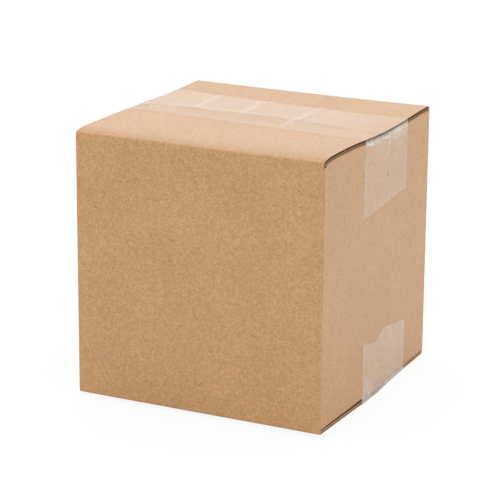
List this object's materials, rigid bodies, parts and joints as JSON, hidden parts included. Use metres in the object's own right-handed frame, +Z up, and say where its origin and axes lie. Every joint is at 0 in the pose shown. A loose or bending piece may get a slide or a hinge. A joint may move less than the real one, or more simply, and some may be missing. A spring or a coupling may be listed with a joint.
{
  "type": "taped parcel",
  "caption": "Small cube-like corrugated kraft carton, its flaps folded shut and closed with clear packing tape over the top and bottom seams.",
  "frame": {"origin": "under the middle of the box, on the surface it stands on", "axes": "+Z up; the plain front panel faces -Y; the end panel with the long tape drop and the torn tape end faces +X"},
  "size_m": [0.1204, 0.118, 0.1245],
  "materials": {
    "kraft_board": "matt unbleached kraft liner with fine fibres and specks",
    "clear_tape": "clear, slightly hazy glossy film with a few wrinkles"
  },
  "bodies": {
    "root": {"carton": "kraft_board", "top_tape": "clear_tape", "bottom_tape": "clear_tape"}
  },
  "joints": []
}
